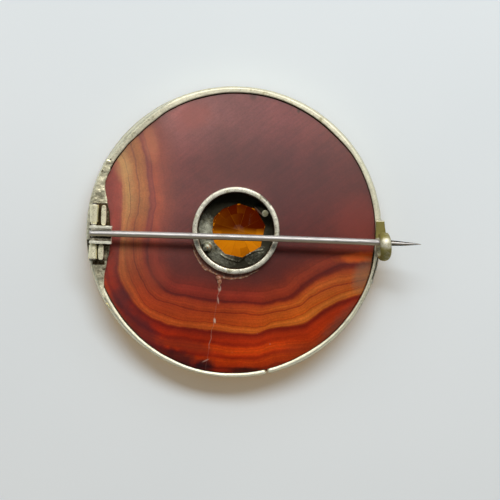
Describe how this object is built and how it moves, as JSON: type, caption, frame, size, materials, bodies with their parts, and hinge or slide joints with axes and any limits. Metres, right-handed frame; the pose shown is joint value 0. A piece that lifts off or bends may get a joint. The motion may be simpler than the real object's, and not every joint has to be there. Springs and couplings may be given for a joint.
{
  "type": "agate brooch",
  "caption": "Round brooch of banded agate in a silver bezel, with a faceted orange stone in a raised middle setting, a hinged steel pin and a C catch on its back.",
  "frame": {"origin": "on the axis of the disc, at the flat ring of the front setting that the brooch rests on", "axes": "+Z out of the back of the brooch, +X from the hinge to the catch, +Y across the pin"},
  "size_m": [0.0504, 0.0444, 0.0088],
  "materials": {
    "silver": "tarnished, worn",
    "agate": "polished",
    "citrine": "polished facets",
    "steel": "drawn wire, worn"
  },
  "bodies": {
    "brooch": {"rim": "silver", "agate_disc": "agate", "collar_ring": "silver", "stone_setting": "silver", "citrine": "citrine", "hinge_wire": "silver"},
    "pin": {"pin_channel": "silver", "pin_wire": "steel"}
  },
  "joints": [
    {"name": "pin_swing", "type": "hinge", "parent": "brooch", "child": "pin", "pos_m": [-0.02097, -0.0003, 0.00575], "axis": [-0.0332, -0.9995, 0], "range_deg": [0, 90]}
  ]
}
